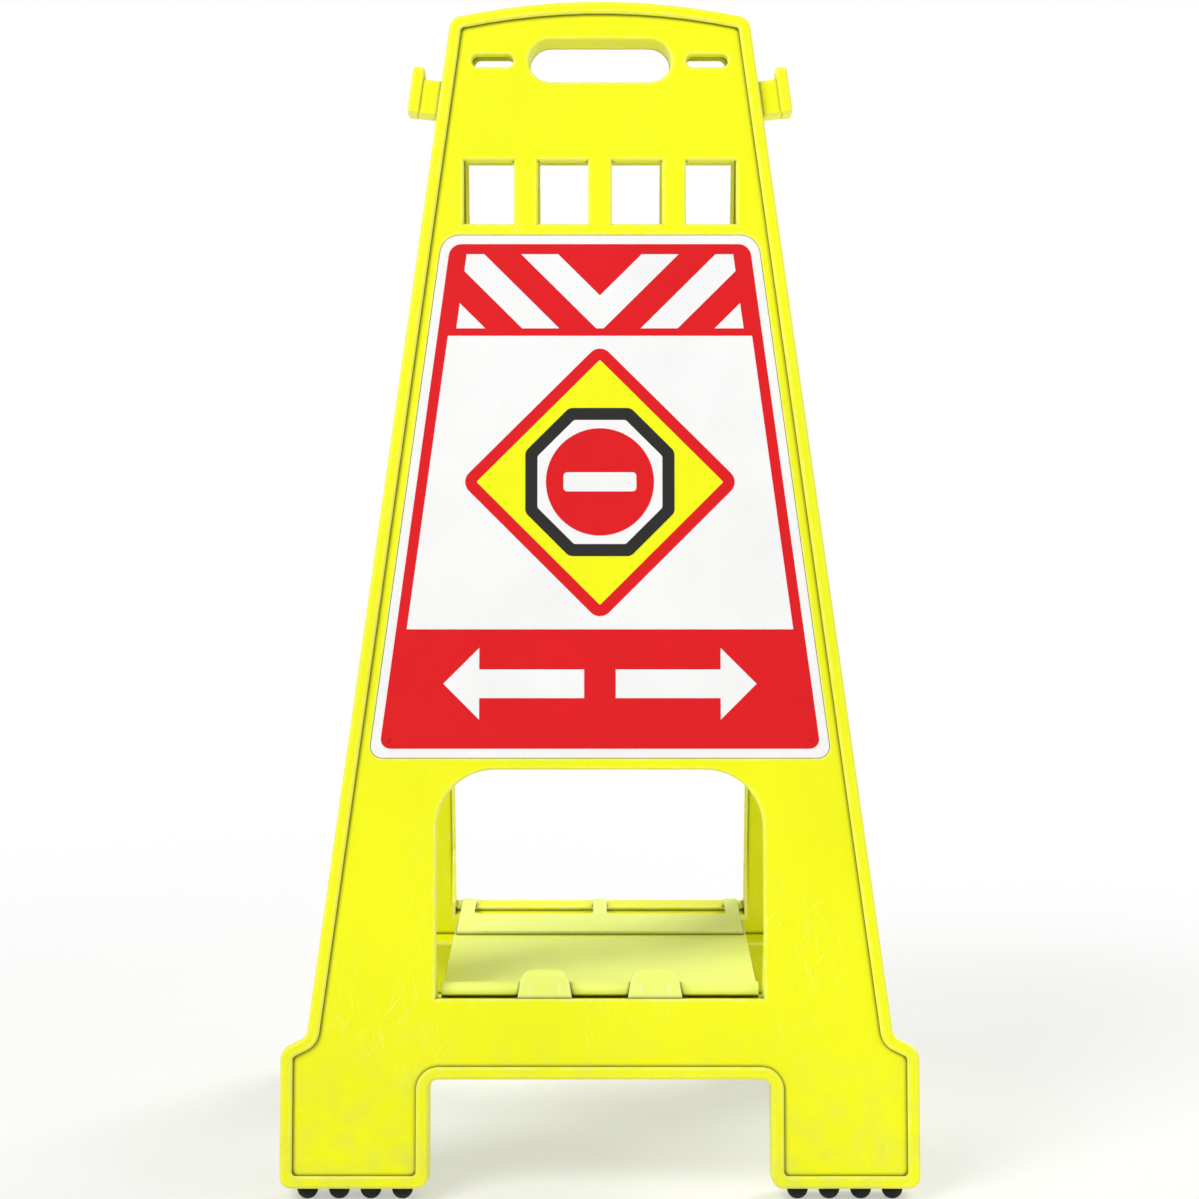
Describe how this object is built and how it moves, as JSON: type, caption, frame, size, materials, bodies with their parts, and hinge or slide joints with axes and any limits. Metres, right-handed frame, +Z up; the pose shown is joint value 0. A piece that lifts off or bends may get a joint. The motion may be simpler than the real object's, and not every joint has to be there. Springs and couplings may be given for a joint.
{
  "type": "barricade sign stand",
  "caption": "Folding A-frame sign stand of moulded panels hinged at the crown, with a lift-up spreader tray, side chain hooks, a hand hole and studded rubber feet.",
  "frame": {"origin": "on the floor, in the middle of the open stand's footprint", "axes": "+Z up, X across the width of the panels, -Y out of the front panel's face"},
  "size_m": [0.44, 0.3878, 0.8244],
  "materials": {
    "panel_yellow": "bright lemon-yellow moulded polyethylene",
    "tray_yellow": "paler yellow moulded polyethylene",
    "sign_sheet": null,
    "black_rubber": "matt black moulded rubber",
    "zinc_steel": "bright zinc plating"
  },
  "bodies": {
    "front_frame": {"front_panel": "panel_yellow", "front_sign_sheet": "sign_sheet", "tray_saddle_left": "tray_yellow", "tray_saddle_right": "tray_yellow", "saddle_screws": "zinc_steel", "hinge_pin_right": "zinc_steel", "hinge_clip_right": "zinc_steel", "hook_screws": "zinc_steel", "hook_washers": "zinc_steel", "chain_hook_left": "panel_yellow", "chain_hook_right": "panel_yellow", "foot_pad_front_left": "black_rubber", "foot_pad_front_right": "black_rubber"},
    "rear_frame": {"rear_panel": "panel_yellow", "rear_sign_sheet": "sign_sheet", "hinge_pin_left": "zinc_steel", "hinge_clip_left": "zinc_steel", "foot_pad_rear_left": "black_rubber", "foot_pad_rear_right": "black_rubber"},
    "tray": {"spreader_tray": "tray_yellow"}
  },
  "joints": [
    {"name": "rear_fold", "type": "hinge", "parent": "front_frame", "child": "rear_frame", "pos_m": [0, 0, 0.7977], "axis": [-1, 0, 0], "range_deg": [0, 23]},
    {"name": "tray_lift", "type": "hinge", "parent": "front_frame", "child": "tray", "pos_m": [0, -0.14778, 0.13904], "axis": [1, 0, 0], "range_deg": [0, 78.5]}
  ]
}
